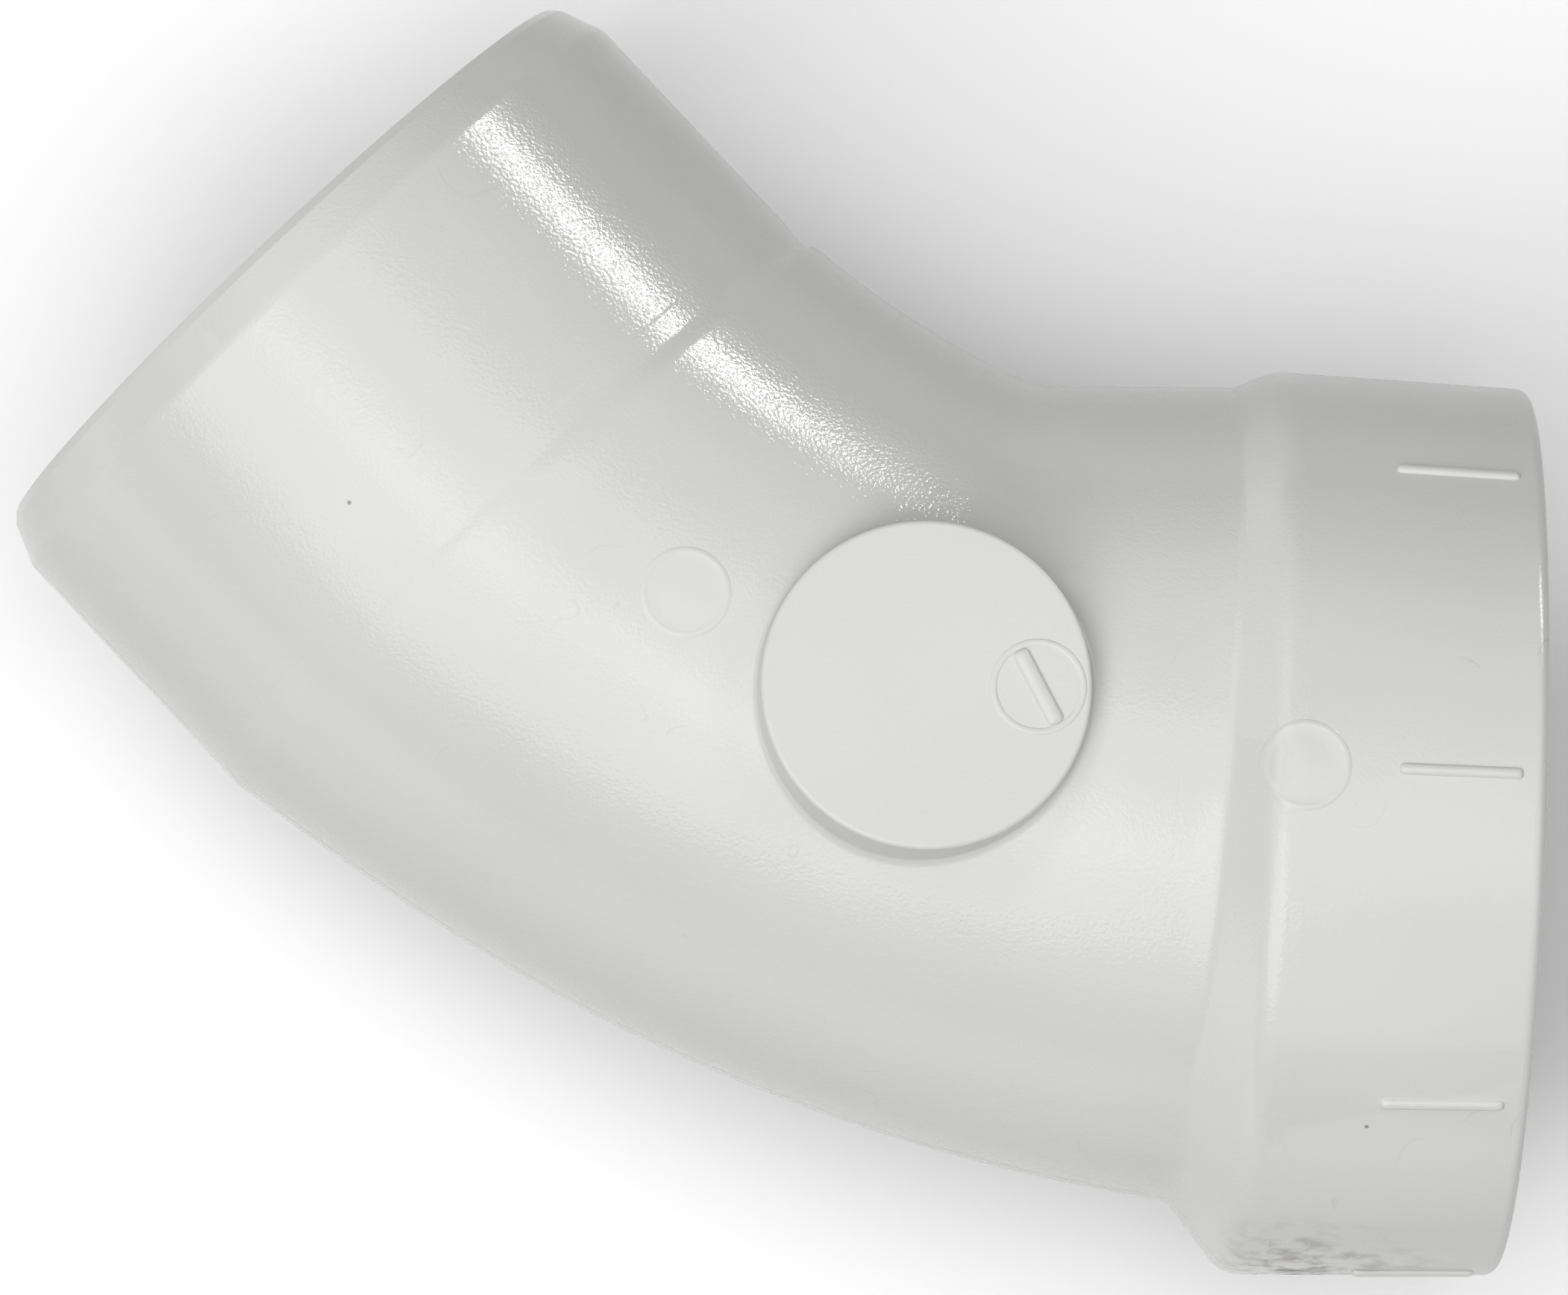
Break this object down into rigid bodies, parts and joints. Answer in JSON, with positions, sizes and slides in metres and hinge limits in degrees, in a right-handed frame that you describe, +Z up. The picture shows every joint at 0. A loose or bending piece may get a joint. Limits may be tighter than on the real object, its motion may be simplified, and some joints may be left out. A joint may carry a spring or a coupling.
{
  "type": "45 degree street elbow pipe fitting",
  "caption": "White plastic street elbow that turns a pipe run by 45 degrees: a plain spigot at one end, a wider socket hub with grip ribs at the other.",
  "frame": {"origin": "centre of the hub's mouth, on the hub's axis", "axes": "+X along the hub's axis, out of its mouth, +Y to the throat side of the bend, +Z up, through the side with the medallion; the bend lies flat in a horizontal plane"},
  "size_m": [0.0929, 0.0768, 0.0562],
  "materials": {
    "bend_shell": "satin moulded PVC",
    "spigot_end": "satin moulded PVC with a fine grain",
    "hub_socket": "satin moulded PVC",
    "collar_ribs": "satin moulded PVC",
    "marking_medallion": "smooth moulded PVC",
    "mould_insert": "smooth moulded PVC",
    "ejector_marks": "smooth moulded PVC"
  },
  "bodies": {
    "root": {"bend_shell": "bend_shell", "spigot_end": "spigot_end", "hub_socket": "hub_socket", "collar_rib_1": "collar_ribs", "collar_rib_2": "collar_ribs", "collar_rib_3": "collar_ribs", "collar_rib_4": "collar_ribs", "collar_rib_5": "collar_ribs", "collar_rib_6": "collar_ribs", "collar_rib_7": "collar_ribs", "collar_rib_8": "collar_ribs", "marking_medallion": "marking_medallion", "mould_insert_ring": "mould_insert", "mould_insert_bar": "mould_insert", "ejector_mark_bend": "ejector_marks", "ejector_mark_hub": "ejector_marks"}
  },
  "joints": []
}
